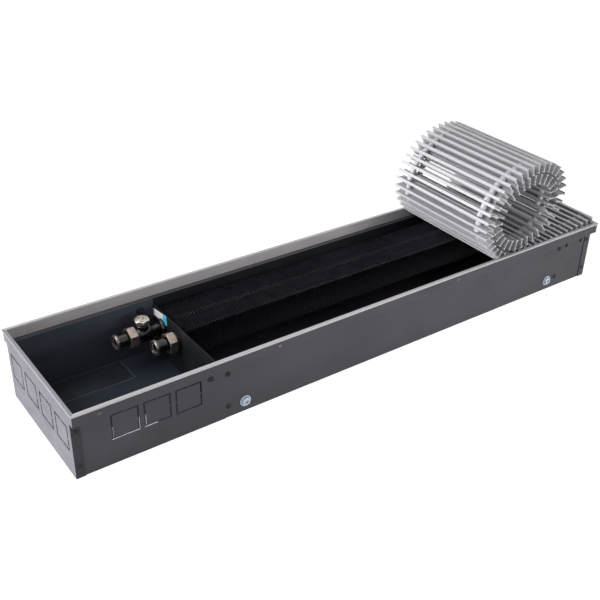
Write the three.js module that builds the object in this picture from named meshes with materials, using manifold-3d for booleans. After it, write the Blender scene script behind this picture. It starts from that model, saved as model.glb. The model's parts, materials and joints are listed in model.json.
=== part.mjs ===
// Trench convector heater: a floor trough with a finned heat exchanger, two pipe unions,
// an air vent and an aluminium grille that rolls up and lifts out. Millimetres, +Z up.
// The origin is at the bottom centre, +X runs along the trough away from the pipe unions
// and -Y is the room side with the open air channel.
import * as THREE from 'three';
import { mergeVertices } from 'three/addons/utils/BufferGeometryUtils.js';
import Module from 'manifold-3d';

// Overall size, over the trim.
const LENGTH = 1000;
const WIDTH = 240;
const HEIGHT = 110;

// Trough sheet metal.
const SHEET = 1.2;
const LEDGE = 12.6; // overhang of the grille seat on each long side
const LIP = 13.5; // how far an end plate wraps onto the long walls

// Aluminium edge trim: an inverted U whose inner leg stands on the grille seat.
const TRIM_WIDTH = 5.2;
const TRIM_SHEET = 1;
const TRIM_LIP = 3;

// Grille bars: I-sections threaded on two rows of round spacers.
const BAR_HEIGHT = 17;
const BAR_FLANGE = 5;
const BAR_FLANGE_THICKNESS = 1.3;
const BAR_WEB = 1.2;
const BAR_PITCH = 13.2;
const BAR_END_GAP = 1.8; // between a bar's end and the trim
const SPACER_RADIUS = 5;
const SPACER_INSET = 27; // from a bar's end to its spacers
const SEAT_GAP = 0.5; // under the bars
const FLAT_BARS = 17; // bars that lie on the seat while the rest is rolled up
const CURL_BARS = 10; // bars of those that curl up towards the loose right end
const CURL = 9.5; // degrees that the last bar leans through the curl

// The roll: a leaning spiral of oval laps.
const ROLL_SET_BACK = 39.3; // from the first hinge back over the seated bars to its middle
const CORE_HALF_WIDTH = 53.7; // the oval two laps inside the outer one
const CORE_HALF_HEIGHT = 42.5;
const ROLL_LEAN = 0.19;
const LAP_CLEARANCE = 2.4;

// Heat exchanger.
const PARTITION_FROM_LEFT = 229;
const BRACKET_FROM_RIGHT = 88;
const FIN_DEPTH = 84;
const FIN_HEIGHT = 47;
const FIN_THICKNESS = 1;
const FIN_PITCH = 14.9;
const FIN_BACK_GAP = 4.7; // to the back wall
const TUBE_RADIUS = 8;
const TUBE_SPACING = 45;

// Pipe unions.
const TAIL_RADIUS = 10.3;
const TAIL_BORE = 6.2;
const TAIL_LENGTH = 26;
const TAIL_SOCKET = 8.6; // radius of the socket in the open end
const SOCKET_DEPTH = 9;
const RIM_CHAMFER = 1.2;
const NUT_ACROSS_FLATS = 30;
const NUT_LENGTH = 16;
const TEE_LENGTH = 50;
const SLACK = 0.3; // between pieces that turn or slide on each other

// Openings and fixings of the trough walls.
const KNOCK_OUT = 40;
const KNOCK_OUT_SLIT = 2;
const KNOCK_OUT_TAB = 2;
const BOLT_RADIUS = 4;
const BOLT_HEIGHT = 18.3;

// Derived levels and faces.
const END = LENGTH / 2 - TRIM_SHEET; // outer face of an end plate
const WALL = WIDTH / 2 - LEDGE; // outer face of a long wall
const FLANGE = WIDTH / 2 - TRIM_SHEET; // outer face of the raised flange
const SEAT = HEIGHT - BAR_HEIGHT - SEAT_GAP; // top of the grille seat
const RIM = HEIGHT - TRIM_SHEET; // top edge of the sheet metal
const CROSS_TOP = SEAT - 10.5; // top of the plates across the trough
const FIN_TOP = SEAT - 14.5;
const TUBE_Z = FIN_TOP - FIN_HEIGHT / 2 + 1;
const FIN_BACK = WALL - SHEET - FIN_BACK_GAP;
const TUBE_MID_Y = FIN_BACK - FIN_DEPTH / 2 - 4;
const TUBE_YS = [TUBE_MID_Y - TUBE_SPACING / 2, TUBE_MID_Y + TUBE_SPACING / 2];
const PARTITION_X = -LENGTH / 2 + PARTITION_FROM_LEFT;
const BRACKET_X = LENGTH / 2 - BRACKET_FROM_RIGHT;
const TUBE_START = PARTITION_X - 2;
const TUBE_END = BRACKET_X + 10;
const BAR_MID = HEIGHT - BAR_HEIGHT / 2;
const BAR_HALF_LENGTH = WIDTH / 2 - TRIM_WIDTH - BAR_END_GAP;
const FIRST_BAR_X = LENGTH / 2 - TRIM_WIDTH - 4.3;
const FIRST_PIVOT_X = FIRST_BAR_X - (FLAT_BARS - 0.5) * BAR_PITCH;
const LAP_PITCH = BAR_HEIGHT + LAP_CLEARANCE;
const ROLL_HALF_WIDTH = CORE_HALF_WIDTH + 2 * LAP_PITCH;
const ROLL_HALF_HEIGHT = CORE_HALF_HEIGHT + 2 * LAP_PITCH;
const ALL_BARS = Math.floor((LENGTH - 2 * TRIM_WIDTH - BAR_FLANGE) / BAR_PITCH) + 1;
const LINKS = Math.floor((ALL_BARS - FLAT_BARS) / 2);

const BLACK = 0x2b2d33;
const ALUMINIUM = 0xc9c7c9;
const FIN_BLACK = 0x17181b;
const NICKEL = 0xb9aea2;
const ZINC = 0xc6cdd8;

const wasm = await Module();
wasm.setup();

// Turn a three.js geometry into a closed solid for cutting and joining.
function solid(geometry) {
  const bare = geometry.clone();
  bare.deleteAttribute('normal');
  bare.deleteAttribute('uv');
  const merged = mergeVertices(bare, 1e-4);
  return new wasm.Manifold(new wasm.Mesh({
    numProp: 3,
    vertProperties: new Float32Array(merged.attributes.position.array),
    triVerts: new Uint32Array(merged.index.array),
  }));
}

// Turn a closed solid back into a three.js geometry.
function surface(body) {
  const mesh = body.getMesh();
  const geometry = new THREE.BufferGeometry();
  const stride = mesh.numProp;
  const xyz = new Float32Array((mesh.vertProperties.length / stride) * 3);
  for (let i = 0; i < xyz.length; i += 1) {
    xyz[i] = mesh.vertProperties[Math.floor(i / 3) * stride + (i % 3)];
  }
  geometry.setAttribute('position', new THREE.BufferAttribute(xyz, 3));
  geometry.setIndex([...mesh.triVerts]);
  return geometry;
}

const joined = (bodies) => bodies.reduce((sum, body) => sum.add(body));
const cut = (body, tools) => tools.reduce((rest, tool) => rest.subtract(tool), body);

function piece(name, shape, colour, metalness = 0.5) {
  const faceted = shape.isBufferGeometry ? shape : surface(shape);
  const geometry = faceted.index ? faceted.toNonIndexed() : faceted;
  geometry.computeVertexNormals();
  const material = new THREE.MeshStandardMaterial({ color: colour, metalness, roughness: 0.45 });
  const mesh = new THREE.Mesh(geometry, material);
  mesh.name = name;
  return mesh;
}

function block(x0, x1, y0, y1, z0, z1) {
  const geometry = new THREE.BoxGeometry(x1 - x0, y1 - y0, z1 - z0);
  geometry.translate((x0 + x1) / 2, (y0 + y1) / 2, (z0 + z1) / 2);
  return solid(geometry);
}

// Extrude an outline along one axis. The outline is in (y, z), (x, z) or (x, y).
function extrude(outline, axis, from, to) {
  const shape = new THREE.Shape(outline.map(([a, b]) => new THREE.Vector2(a, b)));
  const geometry = new THREE.ExtrudeGeometry(shape, { depth: to - from, bevelEnabled: false });
  const x = new THREE.Vector3(1, 0, 0);
  const y = new THREE.Vector3(0, 1, 0);
  const z = new THREE.Vector3(0, 0, 1);
  const turn = new THREE.Matrix4();
  if (axis === 'x') turn.makeBasis(y, z, x).setPosition(from, 0, 0);
  if (axis === 'y') turn.makeBasis(x, z, y.clone().negate()).setPosition(0, to, 0);
  if (axis === 'z') turn.makeBasis(x, y, z).setPosition(0, 0, from);
  return geometry.applyMatrix4(turn);
}

// A round or polygonal rod along one axis, centred on (a, b) in the other two.
function rod(axis, radius, from, to, a, b, sides = 16, phase = 0) {
  const outline = [];
  for (let i = 0; i < sides; i += 1) {
    const angle = phase + (i * 2 * Math.PI) / sides;
    outline.push([a + radius * Math.cos(angle), b + radius * Math.sin(angle)]);
  }
  return solid(extrude(outline, axis, from, to));
}

const hexagon = (axis, flats, from, to, a, b, phase = 0) =>
  rod(axis, flats / Math.sqrt(3), from, to, a, b, 6, phase);

// A ring-shaped or solid turned piece: rods added from the outside in, then bores cut.
const turned = (rods, bores) => cut(joined(rods), bores);

// A profile of (distance along the axis, radius) revolved about X or Z through (a, b).
function revolved(axis, profile, a, b, sides = 16, phase = 0) {
  const points = profile.map(([along, radius]) => new THREE.Vector2(radius, along));
  const geometry = new THREE.LatheGeometry(points, sides, phase);
  if (axis === 'x') geometry.rotateZ(-Math.PI / 2).translate(0, a, b);
  if (axis === 'z') geometry.rotateX(Math.PI / 2).translate(a, b, 0);
  return solid(geometry);
}

// A hexagon whose corners are turned down to its flats at the ends that are listed.
function nutBlank(axis, flats, from, to, a, b, phase, ends) {
  const corner = flats / Math.sqrt(3);
  const slope = (corner - flats / 2) * Math.tan(Math.PI / 6);
  const profile = [[from, 0], [from, ends[0] ? flats / 2 : corner], [from + slope, corner],
    [to - slope, corner], [to, ends[1] ? flats / 2 : corner], [to, 0]];
  const cone = revolved(axis, profile.map(([at, r]) => [at, r * 1.001]), a, b, 12, phase);
  return hexagon(axis, flats, from, to, a, b, phase).intersect(cone);
}

// One square knock-out as four corner slits; the tabs between them keep it in the wall.
function knockOutSlits(axis, from, to, a, b) {
  const outer = KNOCK_OUT / 2;
  const inner = outer - KNOCK_OUT_SLIT;
  const tab = KNOCK_OUT_TAB;
  const corner = [[tab, outer], [tab, inner], [inner, inner], [inner, tab], [outer, tab], [outer, outer]];
  return [[1, 1], [-1, 1], [-1, -1], [1, -1]].map(([u, v]) =>
    solid(extrude(corner.map(([p, q]) => [a + u * p, b + v * q]), axis, from, to)));
}

// Slits for a row of knock-outs.
function knockOutRow(axis, from, to, first, pitch, count, height) {
  const cuts = [];
  for (let i = 0; i < count; i += 1) {
    cuts.push(...knockOutSlits(axis, from, to, first + i * pitch, height));
  }
  return cuts;
}

const KNOCK_OUT_Z = SEAT - 12 - KNOCK_OUT / 2;

function troughShell() {
  const inner = WALL - SHEET;
  const under = SEAT - SHEET;
  const outline = [
    [-WALL, 0], [WALL, 0], [WALL, under], [FLANGE, under], [FLANGE, RIM], [FLANGE - SHEET, RIM],
    [FLANGE - SHEET, SEAT], [inner, SEAT], [inner, SHEET], [-inner, SHEET], [-inner, SEAT],
    [-FLANGE + SHEET, SEAT], [-FLANGE + SHEET, RIM], [-FLANGE, RIM], [-FLANGE, under], [-WALL, under],
  ];
  const body = solid(extrude(outline, 'x', -END + SHEET, END - SHEET));
  const first = -LENGTH / 2 + 36 + KNOCK_OUT;
  const tools = knockOutRow('y', -WALL - 1, -inner + 1, first, KNOCK_OUT + 7.5, 3, KNOCK_OUT_Z);
  for (const [from, to] of [[-WALL - 1, -inner + 1], [inner - 1, WALL + 1]]) {
    for (const x of wallHoles()) tools.push(rod('y', 4, from, to, x, SEAT - 14.7, 12));
    for (const x of boltPositions()) {
      tools.push(rod('y', BOLT_RADIUS + SLACK, from, to, x, BOLT_HEIGHT));
    }
  }
  return cut(body, tools);
}

const wallHoles = () => [-LENGTH / 2 + 206, LENGTH / 2 - 64, LENGTH / 2 - 25];
const boltPositions = () => [-LENGTH / 2 + 261, LENGTH / 2 - 103];

// An end plate with wide ears above the seat and two lips wrapped onto the long walls.
// Only the one at the unions has knock-outs.
function endPlate(side) {
  const under = SEAT - SHEET;
  const body = WALL + SHEET;
  const outline = [
    [-body, 0], [body, 0], [body, under], [FLANGE, under], [FLANGE, RIM], [-FLANGE, RIM],
    [-FLANGE, under], [-body, under],
  ];
  const span = (a, b) => (side < 0 ? [a, b] : [-b, -a]);
  const [p0, p1] = span(-END, -END + SHEET);
  const [l0, l1] = span(-END, -END + LIP);
  const plate = solid(extrude(outline, 'x', p0, p1));
  const lips = [block(l0, l1, WALL, body, 0, under - SLACK), block(l0, l1, -body, -WALL, 0, under - SLACK)];
  const bent = joined([plate, ...lips]);
  if (side > 0) return bent;
  const pitch = KNOCK_OUT + 12;
  const count = Math.floor((2 * WALL) / pitch);
  const first = (-(count - 1) * pitch) / 2;
  return cut(bent, knockOutRow('x', p0 - 1, p1 + 1, first, pitch, count, KNOCK_OUT_Z));
}

// A strip of trim for one side, mitred at both ends, along X with its outer face at -Y.
function trimStrip(length, width) {
  const top = HEIGHT;
  const under = HEIGHT - TRIM_SHEET;
  const leg = TRIM_WIDTH - TRIM_SHEET;
  const section = [
    [0, top - TRIM_LIP], [TRIM_SHEET, top - TRIM_LIP], [TRIM_SHEET, under], [leg, under],
    [leg, SEAT], [TRIM_WIDTH, SEAT], [TRIM_WIDTH, top], [0, top],
  ];
  const count = section.length;
  const xyz = [];
  for (const end of [-1, 1]) {
    for (const [u, z] of section) xyz.push(end * (length / 2 - u), -width / 2 + u, z);
  }
  const faces = [];
  for (let i = 0; i < count; i += 1) {
    const j = (i + 1) % count;
    faces.push(i, count + j, count + i, i, j, count + j);
  }
  const cap = THREE.ShapeUtils.triangulateShape(section.map(([u, z]) => new THREE.Vector2(u, z)), []);
  for (const [a, b, c] of cap) faces.push(a, c, b, count + a, count + b, count + c);
  const geometry = new THREE.BufferGeometry();
  geometry.setAttribute('position', new THREE.BufferAttribute(new Float32Array(xyz), 3));
  geometry.setIndex(faces);
  return geometry;
}

// A plate across the trough, flanged towards +X against both walls, with tube holes.
function crossPlate(x) {
  const side = WALL - SHEET;
  const flange = 12;
  const outline = [
    [x, -side], [x + flange, -side], [x + flange, -side + SHEET], [x + SHEET, -side + SHEET],
    [x + SHEET, side - SHEET], [x + flange, side - SHEET], [x + flange, side], [x, side],
  ];
  const holes = TUBE_YS.map((y) =>
    rod('x', TUBE_RADIUS + SLACK, x - 1, x + SHEET + 1, y, TUBE_Z));
  return cut(solid(extrude(outline, 'z', SHEET, CROSS_TOP)), holes);
}

// The finned block: thin plates on two tubes.
function finBlock() {
  const first = PARTITION_X + 14;
  const count = Math.floor((BRACKET_X - 3 - first) / FIN_PITCH) + 1;
  const tubes = TUBE_YS.map((y) => rod('x', TUBE_RADIUS, TUBE_START, TUBE_END, y, TUBE_Z, 6));
  const fins = [];
  for (let i = 0; i < count; i += 1) {
    const x = first + i * FIN_PITCH;
    fins.push(block(x, x + FIN_THICKNESS, FIN_BACK - FIN_DEPTH, FIN_BACK, FIN_TOP - FIN_HEIGHT, FIN_TOP));
  }
  return joined([...tubes, ...fins]);
}

// The centre line of the return bend, a half circle that opens towards -X.
class BendCurve extends THREE.Curve {
  getPoint(t, target = new THREE.Vector3()) {
    const angle = (t - 0.5) * Math.PI;
    const reach = TUBE_SPACING / 2;
    return target.set(reach * Math.cos(angle), reach * Math.sin(angle), 0);
  }
}

// The half circle of tube that joins the two exchanger tubes at the far end.
function returnBend() {
  const section = new THREE.Shape().absarc(0, 0, TUBE_RADIUS, 0, 2 * Math.PI);
  const extrudePath = new BendCurve();
  const options = { steps: 10, curveSegments: 6, bevelEnabled: false, extrudePath };
  const bend = new THREE.ExtrudeGeometry(section, options);
  return bend.translate(TUBE_END + SLACK, TUBE_MID_Y, TUBE_Z);
}

// Union parts, all turned about an axis along X at height TUBE_Z.
// face is where the threaded pipe end stops and the tailpiece collar starts.
const COLLAR = 3;
const NUT_LIP = 6;
const THREAD_RADIUS = TAIL_RADIUS + 1.7;

function unionNut(face, y) {
  const from = face - COLLAR - NUT_LIP;
  return turned(
    [nutBlank('x', NUT_ACROSS_FLATS, from, from + NUT_LENGTH, y, TUBE_Z, Math.PI / 6, [true, true])],
    [rod('x', TAIL_RADIUS + SLACK, from - 1, from + NUT_LIP + 1, y, TUBE_Z),
      rod('x', THREAD_RADIUS + SLACK, from + NUT_LIP, from + NUT_LENGTH + 1, y, TUBE_Z)],
  );
}

// A tailpiece: a chamfered rim, a wide socket that steps down to the bore, and a collar
// that the nut draws against the pipe end.
function tailpiece(face, y) {
  const from = face - COLLAR - NUT_LIP - TAIL_LENGTH + 6;
  const rim = TAIL_RADIUS + 2.2;
  const profile = [
    [from, TAIL_SOCKET], [from, rim - RIM_CHAMFER], [from + RIM_CHAMFER, rim],
    [from + 5, rim], [from + 5, TAIL_RADIUS],
    [face - COLLAR + SLACK, TAIL_RADIUS], [face - COLLAR + SLACK, THREAD_RADIUS - 0.2],
    [face, THREAD_RADIUS - 0.2], [face, TAIL_BORE], [from + SOCKET_DEPTH, TAIL_BORE],
    [from + SOCKET_DEPTH, TAIL_SOCKET],
  ];
  return revolved('x', [...profile, profile[0]], y, TUBE_Z);
}

// The threaded stub of the front tube, with its collar against the partition.
function pipeStub(face, y) {
  return joined([
    rod('x', THREAD_RADIUS, face, TUBE_START, y, TUBE_Z),
    rod('x', THREAD_RADIUS + 2, TUBE_START - 1, PARTITION_X, y, TUBE_Z),
  ]).subtract(rod('x', TUBE_RADIUS + SLACK, TUBE_START, PARTITION_X + 1, y, TUBE_Z));
}

// The tee on the back tube: a run towards the union and a branch up to the air vent.
const VENT_SEAT = 21;

function ventTee(face, y) {
  const x = face + 1 + (NUT_LENGTH - COLLAR - NUT_LIP) + 9;
  return joined([
    rod('x', THREAD_RADIUS, face, x, y, TUBE_Z),
    rod('x', THREAD_RADIUS + 1, x - 8, x + 12, y, TUBE_Z),
    rod('x', TUBE_RADIUS + 1, x, TUBE_START, y, TUBE_Z),
    rod('x', THREAD_RADIUS + 2, TUBE_START - 4, PARTITION_X, y, TUBE_Z),
    rod('z', 10, TUBE_Z, TUBE_Z + VENT_SEAT, x + 1, y),
  ]).subtract(rod('x', TUBE_RADIUS + SLACK, TUBE_START, PARTITION_X + 1, y, TUBE_Z));
}

function ventPlug(x, y) {
  const z = TUBE_Z + VENT_SEAT;
  return turned(
    [nutBlank('z', 21.5, z, z + 5.5, x, y, 0.3, [false, true]), rod('z', 9, z + 5.5, z + 6.6, x, y)],
    [rod('z', 3 + SLACK, z + 2.5, z + 8, x, y)],
  );
}

function bleedScrew(x, y) {
  const z = TUBE_Z + VENT_SEAT + 2.5;
  const slot = block(x - 4, x + 4, y - 0.6, y + 0.6, z + 4.4, z + 7);
  return cut(rod('z', 3, z, z + 5.6, x, y), [slot]);
}

// A fixing bolt: washer, domed head with a hexagon socket, and a shank through the wall.
function footBolt(x, side) {
  const out = (a, b) => (side < 0 ? [-b, -a] : [a, b]);
  const [w0, w1] = out(WALL, WALL + 1.6);
  const [h0, h1] = out(WALL + 1.6, WALL + 5.4);
  const [s0, s1] = out(WALL - 12, WALL);
  const [k0, k1] = out(WALL + 2.6, WALL + 6);
  return turned(
    [rod('y', 9, w0, w1, x, BOLT_HEIGHT), rod('y', 6.6, h0, h1, x, BOLT_HEIGHT),
      rod('y', BOLT_RADIUS, s0, s1, x, BOLT_HEIGHT)],
    [hexagon('y', 5, k0, k1, x, BOLT_HEIGHT)],
  );
}

// The I-section of a grille bar about its centre.
function barOutline(x, z) {
  const f = BAR_FLANGE / 2;
  const w = BAR_WEB / 2;
  const h = BAR_HEIGHT / 2;
  const t = h - BAR_FLANGE_THICKNESS;
  return [[-f, -h], [f, -h], [f, -t], [w, -t], [w, t], [f, t], [f, h], [-f, h], [-f, t], [-w, t],
    [-w, -t], [-f, -t]].map(([a, b]) => [x + a, z + b]);
}

const bar = (x) => solid(extrude(barOutline(x, 0), 'y', -BAR_HALF_LENGTH, BAR_HALF_LENGTH));

// Both rows of spacers from x0 to x1.
function spacers(x0, x1) {
  const y = BAR_HALF_LENGTH - SPACER_INSET;
  return [-y, y].map((side) => rod('x', SPACER_RADIUS, x0, x1, side, 0, 6));
}

// How far a spacer reaches past its pivot and stays clear of the next bar's web at this bend.
function spacerReach(bend) {
  const room = (BAR_PITCH - BAR_WEB) / 2 - SLACK;
  return (room - SPACER_RADIUS * Math.sin(Math.abs(bend))) / Math.cos(bend);
}

// A point of the spiral, t laps from its start under the roll.
function spiral(t) {
  const angle = -Math.PI / 2 - 2 * Math.PI * t;
  const shrink = LAP_PITCH * t;
  const z = (ROLL_HALF_HEIGHT - shrink) * Math.sin(angle);
  const x = (ROLL_HALF_WIDTH - shrink) * Math.cos(angle) + ROLL_LEAN * z;
  const centreZ = BAR_MID - 1.3 + ROLL_HALF_HEIGHT;
  return new THREE.Vector2(FIRST_PIVOT_X + ROLL_SET_BACK + x, centreZ + z);
}

// Pivots of the rolled links: equal chords of two bar pitches along the spiral.
function pivots() {
  const chord = 2 * BAR_PITCH;
  const points = [new THREE.Vector2(FIRST_PIVOT_X, BAR_MID)];
  let t = 0.05;
  while (spiral(t).distanceTo(points[0]) > chord) t += 0.001;
  for (let i = 0; i < LINKS; i += 1) {
    const from = points[i];
    while (spiral(t).distanceTo(from) < chord) t += 0.0001;
    points.push(spiral(t).sub(from).setLength(chord).add(from));
  }
  return points;
}

// Heading of each rolled link, with the bend between neighbours never past half a turn.
function headings(points) {
  const angles = [Math.PI];
  for (let i = 1; i < points.length; i += 1) {
    const step = points[i].clone().sub(points[i - 1]);
    let angle = Math.atan2(step.y, step.x);
    while (angle > angles[i - 1]) angle -= 2 * Math.PI;
    angles.push(angle);
  }
  return angles;
}

// The bars that stay on the seat, strung on their spacers from left to right. The loose
// right end of the mat curls up, each bar leaning a little more than the one before.
function flatGrille() {
  const flat = FLAT_BARS - CURL_BARS;
  const at = new THREE.Vector2(FIRST_BAR_X - (FLAT_BARS - 1) * BAR_PITCH, BAR_MID);
  const place = (body, lean) => body.rotate([0, -lean, 0]).translate([at.x, 0, at.y]);
  const bodies = spacers(0, (flat - 1) * BAR_PITCH).map((row) => place(row, 0));
  for (let i = 0; i < FLAT_BARS; i += 1) {
    const curled = Math.max(0, i - flat + 1);
    const lean = (CURL * curled) / CURL_BARS;
    if (i > 0) {
      const rise = (CURL * Math.max(0, curled - 0.5)) / CURL_BARS;
      if (curled > 0) bodies.push(...spacers(0, BAR_PITCH).map((row) => place(row, rise)));
      const angle = THREE.MathUtils.degToRad(rise);
      at.add(new THREE.Vector2(BAR_PITCH * Math.cos(angle), BAR_PITCH * Math.sin(angle)));
    }
    bodies.push(place(bar(0), lean));
  }
  return joined(bodies);
}

// One link of the roll: two bars and their spacers, drawn along -X from its pivot.
function link(from, heading, bend) {
  const rows = spacers(-1.5 * BAR_PITCH, spacerReach(bend));
  const body = joined([bar(-BAR_PITCH / 2), bar(-1.5 * BAR_PITCH), ...rows]);
  const turn = (Math.PI - heading) * (180 / Math.PI);
  return body.rotate([0, turn, 0]).translate([from.x, 0, from.y]);
}

function rolledGrille(points, angles) {
  const links = [];
  for (let i = 0; i < LINKS; i += 1) {
    const bend = angles[i + 1] - angles[i];
    const name = `grille_link_${String(i + 1).padStart(2, '0')}`;
    links.push(piece(name, link(points[i], angles[i + 1], bend), ALUMINIUM, 0.8));
  }
  return links;
}

function trims() {
  const long = () => trimStrip(LENGTH, WIDTH);
  const short = () => trimStrip(WIDTH, LENGTH);
  const quarter = Math.PI / 2;
  return [
    piece('trim_front', long(), ALUMINIUM, 0.8),
    piece('trim_right', short().rotateZ(quarter), ALUMINIUM, 0.8),
    piece('trim_back', long().rotateZ(2 * quarter), ALUMINIUM, 0.8),
    piece('trim_left', short().rotateZ(-quarter), ALUMINIUM, 0.8),
  ];
}

function fittings() {
  const [front, back] = TUBE_YS;
  const frontFace = TUBE_START - 8;
  const backFace = TUBE_START - TEE_LENGTH;
  const ventX = backFace + 1 + (NUT_LENGTH - COLLAR - NUT_LIP) + 10;
  return [
    piece('pipe_stub', pipeStub(frontFace, front), NICKEL, 0.8),
    piece('union_nut_front', unionNut(frontFace, front), NICKEL, 0.8),
    piece('tailpiece_front', tailpiece(frontFace, front), BLACK, 0.8),
    piece('vent_tee', ventTee(backFace, back), BLACK),
    piece('union_nut_back', unionNut(backFace, back), NICKEL, 0.8),
    piece('tailpiece_back', tailpiece(backFace, back), BLACK, 0.8),
    piece('vent_plug', ventPlug(ventX, back), NICKEL, 0.8),
    piece('bleed_screw', bleedScrew(ventX, back), NICKEL, 0.8),
  ];
}

function footBolts() {
  return [-1, 1].flatMap((side) => boltPositions().map((x, i) => {
    const name = `foot_bolt_${side < 0 ? 'front' : 'back'}_${i + 1}`;
    return piece(name, footBolt(x, side), ZINC, 0.9);
  }));
}

function convector() {
  const group = new THREE.Group();
  group.name = 'trench_convector';
  const points = pivots();
  const angles = headings(points);
  group.add(
    piece('trough_shell', troughShell(), BLACK),
    piece('end_plate_left', endPlate(-1), BLACK),
    piece('end_plate_right', endPlate(1), BLACK),
    ...trims(),
    piece('partition_plate', crossPlate(PARTITION_X), BLACK),
    piece('exchanger_bracket', crossPlate(BRACKET_X), BLACK),
    piece('fin_block', finBlock(), FIN_BLACK),
    piece('return_bend', returnBend(), FIN_BLACK),
    ...fittings(),
    ...footBolts(),
    piece('grille_flat', flatGrille(), ALUMINIUM, 0.8),
    ...rolledGrille(points, angles),
  );
  return group;
}

export default convector();
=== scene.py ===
"""Looks of the trench convector heater: detailed pieces, finishes, light and camera.

Lengths are in millimetres and become metres by MM, except where a comment says so.
"""
import json
import math

import bmesh
import bpy
from mathutils import Matrix, Vector


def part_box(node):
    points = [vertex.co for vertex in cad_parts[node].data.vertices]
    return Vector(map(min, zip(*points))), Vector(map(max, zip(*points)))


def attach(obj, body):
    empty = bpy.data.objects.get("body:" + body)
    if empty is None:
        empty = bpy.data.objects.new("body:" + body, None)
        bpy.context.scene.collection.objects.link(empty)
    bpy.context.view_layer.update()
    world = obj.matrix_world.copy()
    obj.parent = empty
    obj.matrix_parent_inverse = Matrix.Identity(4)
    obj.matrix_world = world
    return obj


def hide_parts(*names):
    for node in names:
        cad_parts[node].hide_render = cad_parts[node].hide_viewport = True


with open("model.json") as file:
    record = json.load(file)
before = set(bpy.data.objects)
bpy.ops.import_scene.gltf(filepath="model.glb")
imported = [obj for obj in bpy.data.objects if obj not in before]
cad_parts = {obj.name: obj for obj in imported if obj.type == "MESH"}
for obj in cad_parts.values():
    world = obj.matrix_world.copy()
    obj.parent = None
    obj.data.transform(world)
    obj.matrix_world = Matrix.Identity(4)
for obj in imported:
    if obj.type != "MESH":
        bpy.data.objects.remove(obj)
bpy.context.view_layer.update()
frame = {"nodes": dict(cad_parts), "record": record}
NODES = frame["nodes"]
MM = 0.001


# ---- mesh helpers

MERGE_DISTANCE = 1e-6  # metres


def new_object(name, bm, materials, smooth_deg=None, pick=None):
    """Turns a bmesh into an object; faces meeting at less than smooth_deg look rounded.

    pick gives a face's material from its centre in millimetres and its normal.
    """
    bmesh.ops.remove_doubles(bm, verts=bm.verts, dist=MERGE_DISTANCE)
    bmesh.ops.recalc_face_normals(bm, faces=bm.faces)
    if pick:
        for face in bm.faces:
            chosen = pick(face.calc_center_median() / MM, face.normal)
            face.material_index = materials.index(chosen)
    mesh = bpy.data.meshes.new(name)
    bm.to_mesh(mesh)
    bm.free()
    for mat in materials:
        mesh.materials.append(mat)
    if smooth_deg is not None:
        mesh.shade_smooth()
        mesh.set_sharp_from_angle(angle=math.radians(smooth_deg))
    obj = bpy.data.objects.new(name, mesh)
    bpy.context.scene.collection.objects.link(obj)
    return obj


def bridge(bm, one, two):
    """Faces between two rings of vertices; a ring of a single vertex is a closed end."""
    count = max(len(one), len(two))
    for i in range(count):
        j = (i + 1) % count
        if len(one) == 1:
            bm.faces.new((one[0], two[i], two[j]))
        elif len(two) == 1:
            bm.faces.new((one[i], one[j], two[0]))
        else:
            bm.faces.new((one[i], one[j], two[j], two[i]))


def capped(bm, rings):
    """A closed body through a row of rings."""
    for one, two in zip(rings, rings[1:]):
        bridge(bm, one, two)
    bm.faces.new(rings[0])
    bm.faces.new(rings[-1])


def prism(bm, outline, to_point, start, stop):
    """Extrudes a closed outline from start to stop; to_point maps (a, b, c) to a place."""
    capped(bm, [[bm.verts.new(to_point(a, b, along)) for a, b in outline]
                for along in (start, stop)])


def on_front(a, b, c):
    """The place of (a, b) drawn on a long wall, at depth c along Y."""
    return (a * MM, c * MM, b * MM)


def on_end(a, b, c):
    """The place of (a, b) drawn on an end or cross plate, at depth c along X."""
    return (c * MM, a * MM, b * MM)


def chamfered(outline, size):
    """Cuts each convex corner of an outline by a small chamfer."""
    result = []
    count = len(outline)
    for i, here in enumerate(outline):
        before = Vector(outline[i - 1])
        after = Vector(outline[(i + 1) % count])
        corner = Vector(here)
        back = (before - corner).normalized()
        ahead = (after - corner).normalized()
        turn = (corner - before).cross(after - corner)
        if turn <= 0:
            result.append(tuple(corner))
            continue
        result.append(tuple(corner + back * size))
        result.append(tuple(corner + ahead * size))
    return result


AXES = {
    "x": (Vector((1, 0, 0)), Vector((0, 1, 0)), Vector((0, 0, 1))),
    "y": (Vector((0, 1, 0)), Vector((0, 0, 1)), Vector((1, 0, 0))),
    "-y": (Vector((0, -1, 0)), Vector((1, 0, 0)), Vector((0, 0, 1))),
    "z": (Vector((0, 0, 1)), Vector((1, 0, 0)), Vector((0, 1, 0))),
}


def turned(bm, profile, centre, axis, sides=32, phase=0.0, closed=False):
    """Revolves (distance along axis, radius) points about an axis.

    A radius of 0 closes the end. A radius may be a function of the angle.
    closed joins the last ring back to the first, for a ring-shaped body.
    """
    along, first, second = AXES[axis]
    origin = Vector(centre) * MM
    rings = []
    for distance, radius in profile:
        if radius == 0:
            rings.append([bm.verts.new(origin + along * distance * MM)])
            continue
        ring = []
        for i in range(sides):
            angle = phase + 2 * math.pi * i / sides
            reach = radius(angle) if callable(radius) else radius
            direction = first * math.cos(angle) + second * math.sin(angle)
            ring.append(bm.verts.new(origin + (along * distance + direction * reach) * MM))
        rings.append(ring)
    if closed:
        rings.append(rings[0])
    for one, two in zip(rings, rings[1:]):
        bridge(bm, one, two)


def hexagon(across_flats, corner_angle, limit=None):
    """The radius of a hexagon at an angle, no larger than limit."""
    side_angle = math.pi / 3

    def radius(angle):
        from_flat = (angle - corner_angle) % side_angle - side_angle / 2
        reach = across_flats / 2 / math.cos(from_flat)
        return min(reach, limit) if limit else reach
    return radius


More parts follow.
